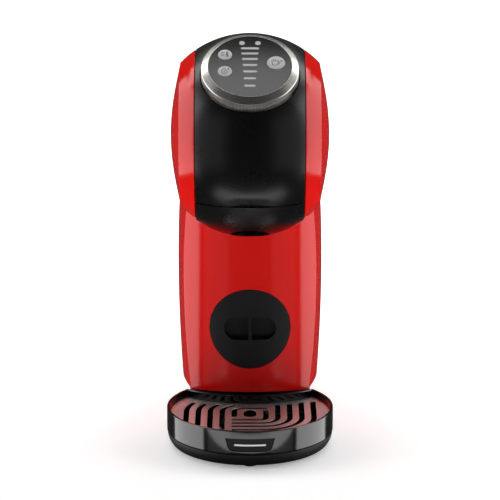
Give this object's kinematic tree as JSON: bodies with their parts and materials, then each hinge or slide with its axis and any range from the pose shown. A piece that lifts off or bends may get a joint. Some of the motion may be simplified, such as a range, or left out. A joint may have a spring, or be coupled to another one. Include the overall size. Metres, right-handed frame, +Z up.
{
  "type": "pod coffee machine",
  "caption": "Slim red pod coffee machine: hinged visor with a dial, sliding pod holder, height-set drip tray and lift-off water tank.",
  "frame": {"origin": "centre of the overall box, on the surface the machine stands on", "axes": "+Z up, +X to the user's right when facing the machine, +Y from the front to the back"},
  "size_m": [0.119, 0.28, 0.2962],
  "materials": {
    "red_gloss": "high gloss moulded plastic",
    "black_gloss": "high gloss moulded plastic",
    "black_matt": "fine spark texture",
    "steel": "satin",
    "light_grey": "satin",
    "white_plastic": "plain moulded",
    "rubber": "matt",
    "silicone": "smooth",
    "board_green": "coated circuit board",
    "aluminium": "as cast",
    "clear_smoke": "clear smoked moulding"
  },
  "bodies": {
    "housing": {"head_side_left": "red_gloss", "head_side_right": "red_gloss", "column_side_left": "red_gloss", "column_side_right": "red_gloss", "column_front": "red_gloss", "tray_mount_disc": "black_matt", "column_back": "black_matt", "column_cap": "black_matt", "head_back": "black_matt", "head_frame": "black_matt", "hinge_pin": "steel", "base_housing": "black_matt", "base_plate": "black_matt", "foot_front_left": "rubber", "foot_front_right": "rubber", "foot_back_left": "rubber", "foot_back_right": "rubber", "base_screw_1": "steel", "base_screw_2": "steel", "base_screw_3": "steel", "base_screw_4": "steel", "cord_gland": "rubber", "inner_frame": "white_plastic", "pump": "steel", "pump_bracket": "white_plastic", "pump_mount_lower": "rubber", "pump_mount_upper": "rubber", "thermoblock": "aluminium", "flow_meter": "white_plastic", "control_board": "board_green", "tank_socket": "white_plastic", "suction_hose": "silicone", "pump_hose": "silicone", "pressure_hose": "silicone", "hot_hose": "silicone"},
    "visor": {"visor_shell": "black_gloss", "visor_frame": "black_matt", "dial_seat": "black_matt", "control_panel": "black_gloss", "light_guide": "light_grey", "display_board": "board_green"},
    "selector": {"selector_ring": "steel"},
    "key_temperature": {"temperature_key": "light_grey"},
    "key_boost": {"boost_key": "light_grey"},
    "key_start": {"start_key": "light_grey"},
    "injector": {"injector_plate": "black_matt", "injector_needle": "steel", "injector_seal": "silicone"},
    "holder": {"pod_holder": "black_gloss", "pod_seat_ring": "light_grey"},
    "tray": {"tray_support": "black_matt"},
    "bowl": {"tray_bowl": "black_gloss", "tray_badge": "black_matt"},
    "grid": {"drip_grid": "steel"},
    "tank": {"tank_body": "clear_smoke", "valve_housing": "white_plastic", "valve_spring": "steel"},
    "poppet": {"valve_poppet": "black_matt"},
    "lid": {"tank_lid": "black_matt"}
  },
  "joints": [
    {"name": "visor_hinge", "type": "hinge", "parent": "housing", "child": "visor", "pos_m": [0, -0.023, 0.222], "axis": [-1, 0, 0], "range_deg": [0, 60]},
    {"name": "selector_turn", "type": "hinge", "parent": "visor", "child": "selector", "pos_m": [0, -0.11155, 0.27866], "axis": [0, -0.5878, 0.809], "continuous": true},
    {"name": "temperature_press", "type": "slide", "parent": "visor", "child": "key_temperature", "axis": [0, 0.5878, -0.809], "range_m": [0, 0.0006], "stiffness_N_per_m": 600, "springref_m": -0.0005},
    {"name": "boost_press", "type": "slide", "parent": "visor", "child": "key_boost", "axis": [0, 0.5878, -0.809], "range_m": [0, 0.0006], "stiffness_N_per_m": 600, "springref_m": -0.0005},
    {"name": "start_press", "type": "slide", "parent": "visor", "child": "key_start", "axis": [0, 0.5878, -0.809], "range_m": [0, 0.0006], "stiffness_N_per_m": 600, "springref_m": -0.0005},
    {"name": "injector_lift", "type": "slide", "parent": "housing", "child": "injector", "axis": [0, 0, 1], "range_m": [0, 0.0061]},
    {"name": "holder_slide", "type": "slide", "parent": "housing", "child": "holder", "axis": [0, -1, 0], "range_m": [0, 0.095]},
    {"name": "tray_slide", "type": "slide", "parent": "housing", "child": "tray", "axis": [0, -1, 0], "range_m": [0, 0.11]},
    {"name": "bowl_lift", "type": "slide", "parent": "tray", "child": "bowl", "axis": [0, 0, 1], "range_m": [0, 0.03]},
    {"name": "grid_lift", "type": "slide", "parent": "bowl", "child": "grid", "axis": [0, 0, 1], "range_m": [0, 0.025]},
    {"name": "tank_lift", "type": "slide", "parent": "housing", "child": "tank", "axis": [0, 0, 1], "range_m": [0, 0.19]},
    {"name": "valve_lift", "type": "slide", "parent": "tank", "child": "poppet", "axis": [0, 0, 1], "range_m": [0, 0.003], "stiffness_N_per_m": 250, "springref_m": -0.003, "deforming": ["valve_spring"]},
    {"name": "lid_hinge", "type": "hinge", "parent": "tank", "child": "lid", "pos_m": [0, 0.0643, 0.2015], "axis": [1, 0, 0], "range_deg": [0, 95]}
  ],
  "couplings": [
    {"joint": "injector_lift", "follows": "visor_hinge", "m_per_rad": 0.00572}
  ]
}
